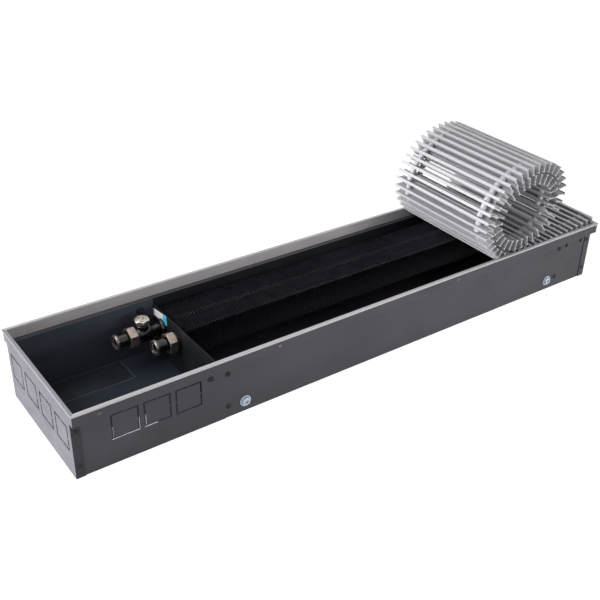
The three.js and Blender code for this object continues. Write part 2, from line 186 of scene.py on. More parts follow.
def hexagon_end(start, length, across_flats, corner_angle, low, high):
    """Profile points along which a hexagon's corners go from the radius low to high."""
    steps = 5
    shares = [step / steps for step in range(steps + 1)]
    return [(start + length * share,
             hexagon(across_flats, corner_angle, low + (high - low) * share)) for share in shares]


def box(bm, low, high):
    """A box between two corners."""
    corners = [(x * MM, y * MM, z * MM) for x in (low[0], high[0]) for y in (low[1], high[1])
               for z in (low[2], high[2])]
    verts = [bm.verts.new(corner) for corner in corners]
    for face in ((0, 1, 3, 2), (4, 6, 7, 5), (0, 4, 5, 1),
                 (2, 3, 7, 6), (0, 2, 6, 4), (1, 5, 7, 3)):
        bm.faces.new([verts[i] for i in face])


# ---- materials

def material(name, colour, metallic=0.0, roughness=0.5, specular=0.5):
    """A principled material and its node tree, with plain values on the shader."""
    mat = bpy.data.materials.new(name)
    mat.use_nodes = True
    shader = mat.node_tree.nodes["Principled BSDF"]
    shader.inputs["Base Color"].default_value = (*colour, 1)
    shader.inputs["Metallic"].default_value = metallic
    shader.inputs["Roughness"].default_value = roughness
    shader.inputs["Specular IOR Level"].default_value = specular
    return mat, mat.node_tree, shader


def noise(tree, scale, detail=3.0, roughness=0.5):
    """Noise over object coordinates; scale is a number or (x, y, z), in cycles per metre."""
    coords = tree.nodes.new("ShaderNodeTexCoord")
    mapping = tree.nodes.new("ShaderNodeMapping")
    mapping.inputs["Scale"].default_value = scale if isinstance(scale, tuple) else (scale,) * 3
    tree.links.new(coords.outputs["Object"], mapping.inputs["Vector"])
    node = tree.nodes.new("ShaderNodeTexNoise")
    node.inputs["Scale"].default_value = 1.0
    node.inputs["Detail"].default_value = detail
    node.inputs["Roughness"].default_value = roughness
    tree.links.new(mapping.outputs["Vector"], node.inputs["Vector"])
    return node.outputs["Fac"]


def ramp(tree, factor, low, high, start=0.35, end=0.65):
    """A colour ramp between two colours or grey levels."""
    node = tree.nodes.new("ShaderNodeValToRGB")
    for element, position, value in zip(node.color_ramp.elements, (start, end), (low, high)):
        element.position = position
        element.color = (*value, 1) if isinstance(value, tuple) else (value, value, value, 1)
    tree.links.new(factor, node.inputs["Fac"])
    return node.outputs["Color"]


def tint(tree, shader, factor, low, high, start=0.35, end=0.65):
    """Moves the base colour between two colours."""
    tree.links.new(ramp(tree, factor, low, high, start, end), shader.inputs["Base Color"])


def gloss(tree, shader, factor, low, high):
    """Moves the roughness between two values."""
    tree.links.new(ramp(tree, factor, low, high), shader.inputs["Roughness"])


def bump(tree, shader, height, strength, distance=0.0001):
    """Relief on the shader's normal; distance is in metres."""
    node = tree.nodes.new("ShaderNodeBump")
    node.inputs["Strength"].default_value = strength
    node.inputs["Distance"].default_value = distance
    tree.links.new(height, node.inputs["Height"])
    tree.links.new(node.outputs["Normal"], shader.inputs["Normal"])


def coated_steel(name, low, high, roughness, specular=0.5):
    """Powder coat: slight tone drift, uneven gloss and a fine orange peel."""
    mat, tree, shader = material(name, high, specular=specular)
    tint(tree, shader, noise(tree, (9, 14, 14), detail=5), low, high)
    gloss(tree, shader, noise(tree, (30, 30, 60), detail=4), roughness - 0.05, roughness + 0.07)
    bump(tree, shader, noise(tree, 1400, detail=2), strength=0.10, distance=0.0002)
    return mat


def anodised(name, low, high, lines, roughness=0.45, metallic=0.3):
    """Natural anodised extrusion: die lines along the bar and a satin sheen."""
    mat, tree, shader = material(name, high, metallic=metallic, roughness=roughness)
    streaks = noise(tree, lines, detail=4, roughness=0.7)
    tint(tree, shader, streaks, low, high, start=0.3, end=0.7)
    gloss(tree, shader, noise(tree, 40, detail=3), roughness - 0.05, roughness + 0.08)
    bump(tree, shader, streaks, strength=0.10)
    return mat


def plated(name, low, high, roughness, metallic, lines=(2400, 300, 300), relief=0.08):
    """Plated turned metal: faint turning marks and patchy gloss."""
    mat, tree, shader = material(name, high, metallic=metallic, roughness=roughness)
    tint(tree, shader, noise(tree, 160, detail=5), low, high)
    marks = noise(tree, lines, detail=3)
    gloss(tree, shader, marks, roughness - 0.06, roughness + 0.08)
    bump(tree, shader, marks, strength=relief)
    return mat


def film(name, low, high, roughness):
    """A bare film or sticker: slight sheen and tone drift."""
    mat, tree, shader = material(name, high, roughness=roughness)
    tint(tree, shader, noise(tree, 60, detail=4), low, high)
    gloss(tree, shader, noise(tree, 25, detail=2), roughness - 0.04, roughness + 0.06)
    bump(tree, shader, noise(tree, 500, detail=2), strength=0.05)
    return mat


def fin_lacquer(name, deep, edge, low_z, high_z):
    """Matt lacquer that goes from the colour deep at low_z to edge at high_z."""
    mat, tree, shader = material(name, deep, roughness=0.5, specular=0.12)
    coords = tree.nodes.new("ShaderNodeTexCoord")
    split = tree.nodes.new("ShaderNodeSeparateXYZ")
    tree.links.new(coords.outputs["Object"], split.inputs["Vector"])
    height = tree.nodes.new("ShaderNodeMapRange")
    height.inputs["From Min"].default_value = low_z * MM
    height.inputs["From Max"].default_value = high_z * MM
    tree.links.new(split.outputs["Z"], height.inputs["Value"])
    worn = tree.nodes.new("ShaderNodeMath")
    worn.operation = "MULTIPLY"
    tree.links.new(height.outputs["Result"], worn.inputs[0])
    tree.links.new(ramp(tree, noise(tree, 60, detail=4), 0.85, 1.0), worn.inputs[1])
    tint(tree, shader, worn.outputs[0], deep, edge, start=0.0, end=1.0)
    gloss(tree, shader, noise(tree, 90, detail=3), 0.44, 0.58)
    bump(tree, shader, noise(tree, 900, detail=2), strength=0.08)
    return mat


# name, darkest and lightest colour, roughness, specular level
STEEL = coated_steel("black_steel", (0.050, 0.049, 0.058), (0.062, 0.060, 0.070), 0.42, 0.18)
# painted shade: a darker copy of the coat for the left end's lips and edges
LIP_SHADE_STEEL = coated_steel(
    "black_steel_lip_painted_shade", (0.026, 0.026, 0.032), (0.034, 0.034, 0.041), 0.42, 0.18)
# painted shade: a darker copy of the coat for the partition, the bracket and the channel's walls
PLATE_SHADE_STEEL = coated_steel(
    "black_steel_plate_painted_shade", (0.008, 0.009, 0.011), (0.012, 0.013, 0.016), 0.5, 0.15)
# painted light: a lighter copy of the coat for the channel's floor
CHANNEL_LIT_STEEL = coated_steel(
    "black_steel_channel_painted_light", (0.034, 0.034, 0.040), (0.046, 0.046, 0.053), 0.5, 0.15)
# painted light: a lighter, bluish copy of the coat for the compartment's inner walls
WALL_LIT_STEEL = coated_steel(
    "black_steel_wall_painted_light", (0.048, 0.056, 0.074), (0.063, 0.072, 0.094), 0.5, 0.15)
# painted shade with a painted bluish tint of the light: a darker copy of the coat for the
# compartment floor and the ends' inner faces
INSIDE_SHADE_STEEL = coated_steel(
    "black_steel_inside_painted_shade", (0.020, 0.025, 0.035), (0.028, 0.033, 0.045), 0.5, 0.15)
# painted light: a paler copy of the black coat for the left end's outer face, and a painted
# highlight on its lip edges
END_LIT_STEEL = coated_steel("black_steel_end_painted_light", (0.082, 0.080, 0.097), (0.100, 0.097, 0.115), 0.42)
# painted shade: a darker, glossier copy of the coat for the seat's top faces
LEDGE_SHADE_STEEL = coated_steel(
    "black_steel_ledge_painted_shade", (0.032, 0.032, 0.036), (0.042, 0.041, 0.046), 0.38, 0.4)
# near-black screws; the same material is painted shade on the sides of the slits
SCREWS_AND_SLIT_SHADE = coated_steel("black_screw_and_slit_shade", (0.008, 0.008, 0.010), (0.014, 0.014, 0.016), 0.36, 0.25)
RIVETS = coated_steel("rivet_steel", (0.05, 0.05, 0.055), (0.10, 0.10, 0.11), 0.36)
# painted highlight: paler top edges of the fins in the front and middle bands
FIN_EDGE_HIGHLIGHT = coated_steel("fin_edge_painted_highlight", (0.030, 0.030, 0.035), (0.050, 0.050, 0.057), 0.42, 0.3)
# painted light: a paler top band on each fin
FIN_TOP_LIT = coated_steel("fin_top_painted_light", (0.011, 0.011, 0.017), (0.019, 0.019, 0.028), 0.48, 0.15)
TUBES = coated_steel("tube_black", (0.008, 0.008, 0.010), (0.016, 0.016, 0.018), 0.35)

# name, colour at low_z and at high_z, the two heights
FINS = fin_lacquer("fin_black", (0.095, 0.094, 0.105), (0.004, 0.004, 0.006), 40, 74)

# name, darkest and lightest colour, noise scale of the die lines, roughness, metallic
ALONG_X, ALONG_Y = (6, 900, 900), (900, 6, 900)
TRIM = anodised("trim_aluminium", (0.40, 0.38, 0.39), (0.50, 0.475, 0.485), ALONG_X)
# painted shade: a darker copy of the trim's aluminium for the left strip
TRIM_LEFT_SHADE = anodised(
    "trim_aluminium_left_painted_shade", (0.22, 0.215, 0.235), (0.29, 0.285, 0.305), ALONG_Y)
TRIM_END = anodised("trim_aluminium_end", (0.40, 0.38, 0.39), (0.50, 0.475, 0.485), ALONG_Y)
BARS = anodised(
    "grille_aluminium", (0.45, 0.445, 0.462), (0.54, 0.534, 0.552), (800, 8, 800), 0.58, 0.2)

# name, darkest and lightest colour, roughness, metallic, noise scale of the marks, relief
# bare cut edges painted near-white: a painted highlight on the lower slits of the first two
# knock-outs
CUT_EDGE_HIGHLIGHT = plated("cut_edge_painted_highlight", (0.80, 0.80, 0.82), (0.95, 0.95, 0.97), 0.4, 0.0)
NICKEL = plated("nickel", (0.26, 0.205, 0.175), (0.35, 0.28, 0.24), 0.34, 0.8)
VENT_NICKEL = plated(
    "nickel_bright", (0.50, 0.46, 0.415), (0.60, 0.555, 0.50), 0.20, 0.85, (90, 90, 300), 0.0)
RING_NICKEL = plated(
    "ring_nickel", (0.44, 0.42, 0.41), (0.58, 0.555, 0.535), 0.4, 0.5, (200, 200, 600), 0.02)
BLACK_NICKEL = plated("black_nickel", (0.004, 0.004, 0.005), (0.010, 0.010, 0.011), 0.17, 0.0)
SMOKED = plated("smoked_nickel", (0.15, 0.13, 0.125), (0.24, 0.205, 0.195), 0.26, 0.75)
ZINC = plated("zinc", (0.35, 0.395, 0.475), (0.44, 0.485, 0.565), 0.42, 0.4, (600, 2400, 600))
# painted shade: a darker copy of the zinc for the inside of the bolts' sockets
ZINC_PAINTED_SHADE = plated(
    "zinc_painted_shade", (0.24, 0.275, 0.34), (0.31, 0.35, 0.42), 0.4, 0.4, (600, 2400, 600))

# name, darkest and lightest colour, roughness
WHITE_FILM = film("label_white", (0.97, 0.97, 1.0), (1.0, 1.0, 1.0), 0.40)
CYAN_FILM = film("label_cyan", (0.06, 0.50, 0.78), (0.10, 0.60, 0.88), 0.40)
CLEAR_FILM = film("floor_film", (0.018, 0.020, 0.026), (0.024, 0.026, 0.032), 0.34)
LINE_FILM = film("film_edge", (0.10, 0.105, 0.12), (0.14, 0.145, 0.165), 0.4)


def piece(name, bm, materials, body, slot, *nodes, smooth_deg=None, pick=None):
    """A new piece on its body, with the nodes it stands for hidden."""
    obj = new_object(name, bm, materials, smooth_deg, pick)
    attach(obj, body)
    if nodes:
        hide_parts(*nodes)


# ---- sheet metal and trim

PARTITION_X = -271  # the partition's face towards the unions
WALL_Y = 107.4  # outer faces of the long walls
INSIDE_Y = 106.3  # just beyond the walls' inner faces
FLANGE_Y = 119  # outer faces of the raised flanges
BETWEEN_FLANGES_Y = 118
END_FACE_X = -498.5  # just inside of the left end's outer face
FLANGE_BEND_Z = 91.3  # underside of the flange
SEAT_Z = 92.5  # the ledge on which the grille lies

KNOCK_OUT_Z = 60.5
FRONT_KNOCK_OUTS_X = (-424, -376.5, -329)
END_KNOCK_OUTS_Y = (-78, -26, 26, 78)
SLIT_OUTER, SLIT_INNER, HALF_TAB = 20.25, 17.7, 0.8
SLITS_Z = (38, 83)  # the band of height with all the slits
SLITS_END_X = -300
HIGHLIT_SLITS_END_X = -380  # the lower slits up to here show bare cut edges with a painted highlight

FACING = 0.5  # a face looks along an axis if its normal's share of it is larger than this
SHARP_ANGLE = math.radians(40)
FLAT_ANGLE = math.radians(0.4)
NODE_MERGE_DISTANCE = 2e-6  # metres
TINY_EDGE = 0.02
BEND_RADIUS = 1.0
SHEET_EDGE, TRIM_EDGE = 0.3, 0.28


def slit_cutter(centres, to_point, start, stop):
    """L-shaped cutters for the slits of square knock-outs, with thin tabs between them."""
    corner = [(HALF_TAB, SLIT_OUTER), (HALF_TAB, SLIT_INNER), (SLIT_INNER, SLIT_INNER),
              (SLIT_INNER, HALF_TAB), (SLIT_OUTER, HALF_TAB), (SLIT_OUTER, SLIT_OUTER)]
    bm = bmesh.new()
    for centre in centres:
        for u, v in ((1, 1), (-1, 1), (-1, -1), (1, -1)):
            outline = [(centre + u * a, KNOCK_OUT_Z + v * b) for a, b in corner]
            prism(bm, outline, to_point, start, stop)
    return new_object("cutter", bm, [])


def with_cuts(mesh, cutter):
    """The mesh after an exact boolean cut; the cutter is removed."""
    obj = bpy.data.objects.new("uncut", mesh)
    bpy.context.scene.collection.objects.link(obj)
    cut = obj.modifiers.new("cut", "BOOLEAN")
    cut.operation = "DIFFERENCE"
    cut.solver = "EXACT"
    cut.object = cutter
    graph = bpy.context.evaluated_depsgraph_get()
    result = bpy.data.meshes.new_from_object(obj.evaluated_get(graph))
    for spare in (obj, cutter):
        bpy.data.objects.remove(spare)
    return result


def bend_edge(edge):
    """Whether an edge is one of the outer edges at which the trough's sheet is bent."""
    one, two = (vert.co / MM for vert in edge.verts)
    near = 0.1
    along = abs(one.x - two.x) > 500
    flange = abs(abs(one.y) - FLANGE_Y) < near and abs(one.z - FLANGE_BEND_Z) < near
    foot = abs(abs(one.y) - WALL_Y) < near and abs(one.z) < near
    return along and (flange or foot)


def broken_edge(edge):
    """Whether an edge is long enough to be broken."""
    return edge.calc_length() >= TINY_EDGE * MM


def rounded_copy(node, name, materials, slot, width, pick=None, cutter=None, split=None):
    """A copy of a node's mesh with its bends rounded and its sharp edges broken by width.

    cutter is cut out of it first, and split is the x at which its faces are divided.
    """
    bm = bmesh.new()
    bm.from_mesh(NODES[node].data)
    bmesh.ops.remove_doubles(bm, verts=bm.verts, dist=NODE_MERGE_DISTANCE)
    if cutter:
        mesh = bpy.data.meshes.new("whole")
        bm.to_mesh(mesh)
        bm.clear()
        bm.from_mesh(with_cuts(mesh, cutter))
        bmesh.ops.remove_doubles(bm, verts=bm.verts, dist=NODE_MERGE_DISTANCE)
    bmesh.ops.dissolve_limit(bm, angle_limit=FLAT_ANGLE, verts=bm.verts, edges=bm.edges)
    if split:
        bmesh.ops.bisect_plane(bm, geom=bm.verts[:] + bm.edges[:] + bm.faces[:],
                               dist=MERGE_DISTANCE, plane_co=(split * MM, 0, 0),
                               plane_no=(1, 0, 0))
    for face in bm.faces:
        face.smooth = False
    for radius, segments, wanted in ((BEND_RADIUS, 3, bend_edge), (width, 2, broken_edge)):
        sharp = [edge for edge in bm.edges if len(edge.link_faces) == 2
                 and edge.calc_face_angle(0) > SHARP_ANGLE and wanted(edge)]
        if not sharp:
            continue
        rounded = bmesh.ops.bevel(bm, geom=sharp, offset=radius * MM, segments=segments,
                                  profile=0.5, affect="EDGES", clamp_overlap=True)
        for face in rounded["faces"]:
            face.smooth = True
    piece(name, bm, materials, "trough", slot, node, pick=pick)


def shell_finish(centre, normal):
    """The trough's coat, with painted light and shade: a painted highlight and painted shade in
    the slits, a darker seat, and lit and shaded copies of the coat on the inner faces either side
    of the partition.
    """
    in_slit = (centre.x < SLITS_END_X and SLITS_Z[0] < centre.z < SLITS_Z[1]
               and -WALL_Y - 0.1 < centre.y < -INSIDE_Y + 0.2)
    highlit = centre.z < KNOCK_OUT_Z and centre.x < HIGHLIT_SLITS_END_X
    # bare cut edges of the lower slits, painted near-white as a highlight
    if in_slit and highlit and abs(normal.y) < 0.97:
        return CUT_EDGE_HIGHLIGHT
    # the other slit sides: painted shade
    if in_slit and abs(normal.y) < 0.6:
        return SCREWS_AND_SLIT_SHADE
    # the seat's top faces: painted shade
    if abs(centre.z - SEAT_Z) < 0.2 and normal.z > 0.8:
        return LEDGE_SHADE_STEEL
    if abs(centre.y) < INSIDE_Y and 1 < centre.z < SEAT_Z - 0.1:
        # past the partition: painted light on the floor, painted shade on the walls
        if centre.x > PARTITION_X:
            return CHANNEL_LIT_STEEL if normal.z > FACING else PLATE_SHADE_STEEL
        # before the partition: painted shade on the floor, painted bluish light on the walls
        return INSIDE_SHADE_STEEL if normal.z > FACING else WALL_LIT_STEEL
    return STEEL


def end_finish(centre, normal):
    """The left end's coat: painted shade in the slits and on the inner face, painted light on the
    outer face, a painted highlight on the lip edges, and painted shade on the lips.
    """
    in_slit = (SLITS_Z[0] < centre.z < SLITS_Z[1] and abs(centre.y) < 100
               and -498.95 < centre.x < -497.85)
    # slit sides: painted shade
    if in_slit and abs(normal.x) < 0.6:
        return SCREWS_AND_SLIT_SHADE
    # lip edges get a painted highlight, the inner face painted shade
    if normal.x > FACING and abs(centre.y) < BETWEEN_FLANGES_Y:
        return END_LIT_STEEL if abs(centre.y) > WALL_Y - 0.1 else INSIDE_SHADE_STEEL
    # painted light on the outer face, painted shade on the lips and the other faces
    return END_LIT_STEEL if centre.x < END_FACE_X and normal.x < -FACING else LIP_SHADE_STEEL


def far_end_finish(centre, normal):
    """The right end's coat, with painted shade on its inner face."""
    return INSIDE_SHADE_STEEL if normal.x < -FACING and abs(centre.y) < BETWEEN_FLANGES_Y else STEEL


def sheet_metal():
    """The trough, its end plates, the two cross plates and the trim."""
    shell_coats = [STEEL, CUT_EDGE_HIGHLIGHT, LEDGE_SHADE_STEEL, INSIDE_SHADE_STEEL, SCREWS_AND_SLIT_SHADE, WALL_LIT_STEEL, PLATE_SHADE_STEEL,
                   CHANNEL_LIT_STEEL]
    front_slits = slit_cutter(FRONT_KNOCK_OUTS_X, on_front, -109, -105)
    rounded_copy("trough_shell", "trough_sheet", shell_coats, "black_steel", SHEET_EDGE,
                 shell_finish, front_slits, PARTITION_X)
    end_slits = slit_cutter(END_KNOCK_OUTS_Y, on_end, -501, -496)
    rounded_copy("end_plate_left", "end_sheet_left", [LIP_SHADE_STEEL, END_LIT_STEEL, INSIDE_SHADE_STEEL, SCREWS_AND_SLIT_SHADE],
                 "black_steel", SHEET_EDGE, end_finish, end_slits)
    rounded_copy("end_plate_right", "end_sheet_right", [STEEL, INSIDE_SHADE_STEEL], "black_steel",
                 SHEET_EDGE, far_end_finish)
    # the partition and bracket take the painted-shade copy of the coat
    for node, name in (("partition_plate", "partition_sheet"),
                       ("exchanger_bracket", "bracket_sheet")):
        rounded_copy(node, name, [PLATE_SHADE_STEEL], "black_steel", SHEET_EDGE)
    for place, finish in (("front", TRIM), ("back", TRIM), ("left", TRIM_LEFT_SHADE),
                          ("right", TRIM_END)):
        rounded_copy(f"trim_{place}", f"trim_strip_{place}", [finish], "trim_aluminium",
                     TRIM_EDGE)


sheet_metal()


# ---- grille

LENGTH = 1000
RIM_Z = 110
BAR_PITCH = 13.2
BAR_HEIGHT = 17
BAR_FLANGE = 5
BAR_FLANGE_THICKNESS = 1.3
BAR_WEB = 1.2
BAR_CHAMFER = 0.28
BAR_MID = RIM_Z - BAR_HEIGHT / 2
BAR_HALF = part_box("grille_flat")[1][1] / MM
SPACER_RADIUS = 5
SPACER_PLAY = 0.05
SPACER_CHAMFER = 0.5
SPACER_SIDES = 20
SPACER_Y = BAR_HALF - 27
FLAT_BARS = 17
CURL_BARS = 10  # the last of the flat bars, which curl up
CURL = 9.5  # degrees, over all of them
TRIM_WIDTH = 5.2
FIRST_BAR_X = LENGTH / 2 - TRIM_WIDTH - 4.3
FIRST_PIVOT_X = FIRST_BAR_X - (FLAT_BARS - 0.5) * BAR_PITCH
LINKS = sum(name.startswith("grille_link_") for name in NODES)
LINK_GAP = 0.35  # between a spacer's end and the web it bends towards

# the spiral on which the links' hinges lie
LAP_PITCH = BAR_HEIGHT + 2.4
HALF_WIDTH = 53.7 + 2 * LAP_PITCH
HALF_HEIGHT = 42.5 + 2 * LAP_PITCH
LEAN = 0.19
SPIRAL_X = 39.3  # its middle, from the first pivot
SPIRAL_DROP = 1.3
SPIRAL_START = 0.05  # laps


def bar_outline():
    """The I-shaped section of a bar, with broken corners."""
    f, w, h = BAR_FLANGE / 2, BAR_WEB / 2, BAR_HEIGHT / 2
    t = h - BAR_FLANGE_THICKNESS
    corners = [(-f, -h), (f, -h), (f, -t), (w, -t), (w, t), (f, t), (f, h), (-f, h), (-f, t),
               (-w, t), (-w, -t), (-f, -t)]
    return chamfered(corners, BAR_CHAMFER)


BAR_OUTLINE = bar_outline()


def add_bar(bm, centre, tilt):
    """One bar at (x, z), tilted about Y by tilt radians."""
    cos, sin = math.cos(tilt), math.sin(tilt)

    def place(a, b, along):
        return ((centre[0] + a * cos - b * sin) * MM, along * MM,
                (centre[1] + a * sin + b * cos) * MM)

    prism(bm, BAR_OUTLINE, place, -BAR_HALF, BAR_HALF)


def add_spacer(bm, one, two):
    """A round spacer in both rows between two places (x, z)."""
    start = Vector((one[0], 0, one[1]))
    along = Vector((two[0], 0, two[1])) - start
    length = along.length
    along.normalize()
    side = Vector((0, 1, 0))
    up = along.cross(side)
    radius = SPACER_RADIUS - SPACER_PLAY
    profile = ((0, radius - SPACER_CHAMFER), (SPACER_CHAMFER, radius),
               (length - SPACER_CHAMFER, radius), (length, radius - SPACER_CHAMFER))
    angles = [2 * math.pi * i / SPACER_SIDES for i in range(SPACER_SIDES)]
    for y in (-SPACER_Y, SPACER_Y):
        rings = []
        for distance, reach in profile:
            middle = start + along * distance + side * y
            rings.append([
                bm.verts.new((middle + (side * math.cos(a) + up * math.sin(a)) * reach) * MM)
                for a in angles])
        capped(bm, rings)


def flat_grille():
    """The seated bars; the last ones curl up, each leaning a little more than the one before."""
    bm = bmesh.new()
    flat = FLAT_BARS - CURL_BARS
    x, z = FIRST_BAR_X - (FLAT_BARS - 1) * BAR_PITCH, BAR_MID
    for i in range(FLAT_BARS):
        curled = max(0, i - flat + 1)
        if i:
            rise = math.radians(CURL * max(0, curled - 0.5) / CURL_BARS)
            ahead = (math.cos(rise), math.sin(rise))
            start = (x + ahead[0] * BAR_WEB / 2, z + ahead[1] * BAR_WEB / 2)
            x, z = x + ahead[0] * BAR_PITCH, z + ahead[1] * BAR_PITCH
            add_spacer(bm, start, (x - ahead[0] * BAR_WEB / 2, z - ahead[1] * BAR_WEB / 2))
        add_bar(bm, (x, z), math.radians(CURL * curled / CURL_BARS))
    piece("grille_bed_bars", bm, [BARS], "grille_bed", "grille_aluminium", "grille_flat",
          smooth_deg=30)


def spiral(laps):
    """A place on the leaning oval spiral, going inwards from its lowest point."""
    angle = -math.pi / 2 - 2 * math.pi * laps
    shrink = LAP_PITCH * laps
    z = (HALF_HEIGHT - shrink) * math.sin(angle)
    x = (HALF_WIDTH - shrink) * math.cos(angle) + LEAN * z
    return Vector((FIRST_PIVOT_X + SPIRAL_X + x, BAR_MID - SPIRAL_DROP + HALF_HEIGHT + z))


def pivots():
    """Hinges of the rolled links: equal chords of two bar pitches along the spiral."""
    chord = 2 * BAR_PITCH
    coarse, fine = 0.001, 0.0001
    points = [Vector((FIRST_PIVOT_X, BAR_MID))]
    laps = SPIRAL_START
    while (spiral(laps) - points[0]).length > chord:
        laps += coarse
    for _ in range(LINKS):
        while (spiral(laps) - points[-1]).length < chord:
            laps += fine
        points.append(points[-1] + (spiral(laps) - points[-1]).normalized() * chord)
    return points


def rolled_grille():
    """Every link of the roll; its two bars fan out evenly between their neighbours."""
    points = pivots()
    headings = [math.pi]
    for here, there in zip(points, points[1:]):
        angle = math.atan2(there.y - here.y, there.x - here.x)
        while angle > headings[-1]:
            angle -= 2 * math.pi
        headings.append(angle)
    bends = [before - after for before, after in zip(headings, headings[1:])]
    members = frame["record"]["behaviour"]["bodies"]
    for number in range(LINKS):
        heading, bend = headings[number + 1], bends[number]
        onward = bends[number + 1] if number + 1 < LINKS else bend
        pivot = points[number]
        ahead = Vector((math.cos(heading), math.sin(heading)))
        bm = bmesh.new()
        tilt = heading - math.pi
        add_bar(bm, pivot + ahead * BAR_PITCH / 2, tilt + bend / 4)
        add_bar(bm, pivot + ahead * 1.5 * BAR_PITCH, tilt - onward / 4)
        add_spacer(bm, pivot + ahead * (BAR_PITCH + BAR_WEB) / 2,
                   pivot + ahead * (1.5 * BAR_PITCH - BAR_WEB / 2))
        room = (BAR_PITCH - BAR_WEB) / 2 - LINK_GAP
        reach = (room - SPACER_RADIUS * math.sin(bend)) / math.cos(bend)
        add_spacer(bm, pivot + ahead * (BAR_PITCH - BAR_WEB) / 2, pivot - ahead * reach)
        node = f"grille_link_{number + 1:02d}"
        body = next(name for name, nodes in members.items() if node in nodes)
        piece(f"roll_bars_{number + 1:02d}", bm, [BARS], body, "grille_aluminium", node,
              smooth_deg=30)


flat_grille()
rolled_grille()


# ---- heat exchanger

TUBE_YS = (33, 78)
TUBE_Z = 55.5
TUBE_SIDES = 28
TUBE_SKIN = 7.9
BEND_SKIN = 7.95

FIN_THICKNESS = 0.45
FIN_PITCH = 5.0
FIN_COLUMNS = 64
FIRST_FIN, LAST_FIN = 6, 12  # from the ends of the CAD block
FIN_TOP_BAND = 1.4
FIN_ROUNDING = 0.25
FIN_DEPTH = 84
WAVE_HEIGHT = 0.75
WAVE_LENGTH = 5.2
WAVE_BANDS = ((0.09, 0.09), (0.50, 0.07), (0.93, 0.07))  # middle and half width, as shares


def fin_wave(share):
    """How far a fin swings at a share of its depth: small waves in three bands."""
    for centre, half in WAVE_BANDS:
        off = abs(share - centre) / half
        if off < 1:
            return (WAVE_HEIGHT * math.sin(2 * math.pi * share * FIN_DEPTH / WAVE_LENGTH)
                    * math.cos(off * math.pi / 2))
    return 0.0


def add_fin(bm, x, front, back, rows):
    """One wavy fin at x; rows gives heights and the fin's thickness there, as a share."""
    sides = []
    for side in (-1, 1):
        grid = []
        for z, width in rows:
            line = []
            for c in range(FIN_COLUMNS + 1):
                share = c / FIN_COLUMNS
                swing = fin_wave(share) + side * width * FIN_THICKNESS / 2
                y = front + share * (back - front)
                line.append(bm.verts.new(((x + swing) * MM, y * MM, z * MM)))
            grid.append(line)
        sides.append(grid)
    near, far = sides
    for r in range(len(rows) - 1):
        for c in range(FIN_COLUMNS):
            bm.faces.new((near[r][c], near[r][c + 1], near[r + 1][c + 1], near[r + 1][c]))
            bm.faces.new((far[r][c], far[r + 1][c], far[r + 1][c + 1], far[r][c + 1]))
        bm.faces.new((near[r][0], near[r + 1][0], far[r + 1][0], far[r][0]))
        bm.faces.new((near[r][-1], far[r][-1], far[r + 1][-1], near[r + 1][-1]))
    for c in range(FIN_COLUMNS):
        bm.faces.new((near[0][c], far[0][c], far[0][c + 1], near[0][c + 1]))
        bm.faces.new((near[-1][c], near[-1][c + 1], far[-1][c + 1], far[-1][c]))


def fin_block():
    """The wavy fins on the two tubes."""
    low, high = (Vector(corner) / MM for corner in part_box("fin_block"))
    front, back = low.y, high.y
    rows = ((low.z, 1.0), (high.z - FIN_TOP_BAND, 1.0), (high.z - FIN_ROUNDING, 1.0),
            (high.z, 0.4))
    start = low.x + FIRST_FIN
    bm = bmesh.new()
    for i in range(int((high.x - LAST_FIN - start) / FIN_PITCH) + 1):
        add_fin(bm, start + i * FIN_PITCH, front, back, rows)

    def pick(centre, normal):
        """A painted highlight on the top edges in the front and middle bands, painted light on the
        top band, and dark sides.
        """
        share = (centre.y - front) / (back - front)
        if centre.z > high.z - 0.3 and (share < 0.06 or 0.46 < share < 0.54):
            return FIN_EDGE_HIGHLIGHT
        return FIN_TOP_LIT if centre.z > high.z - FIN_TOP_BAND else FINS

    piece("exchanger_fins", bm, [FINS, FIN_EDGE_HIGHLIGHT, FIN_TOP_LIT], "trough", "fin_black", "fin_block",
          pick=pick)
    bm = bmesh.new()
    for y in TUBE_YS:
        turned(bm, ((low.x, 0), (low.x, TUBE_SKIN), (high.x, TUBE_SKIN), (high.x, 0)),
               (0, y, TUBE_Z), "x", sides=TUBE_SIDES)
    piece("exchanger_tubes", bm, [TUBES], "trough", "tube_black", "fin_block", smooth_deg=40)


def return_bend():
    """The half circle of tube that joins the two exchanger tubes at the far end."""
    low, high = (Vector(corner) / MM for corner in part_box("return_bend"))
    centre = Vector((low.x, (low.y + high.y) / 2, TUBE_Z))
    reach = (TUBE_YS[1] - TUBE_YS[0]) / 2
    steps = 32
    angles = [2 * math.pi * i / TUBE_SIDES for i in range(TUBE_SIDES)]
    bm = bmesh.new()
    rings = []
    for step in range(steps + 1):
        angle = math.pi * (step / steps - 0.5)
        out = Vector((math.cos(angle), math.sin(angle), 0))
        rings.append([bm.verts.new((centre + out * (reach + BEND_SKIN * math.cos(a))
                                    + Vector((0, 0, BEND_SKIN * math.sin(a)))) * MM)
                      for a in angles])
    capped(bm, rings)
    piece("exchanger_bend", bm, [TUBES], "trough", "tube_black", "return_bend", smooth_deg=40)


fin_block()
return_bend()


# ---- pipe unions and air vent

NUT_FLATS = 30
NUT_TURN = math.pi / 6  # the angle of a corner
NUT_RIM = 14.9
NUT_TAPER = 1.5
VENT_X = -305
VENT_FLATS = 21.5
VENT_TURN = 0.3
VENT_RIM = 10.3


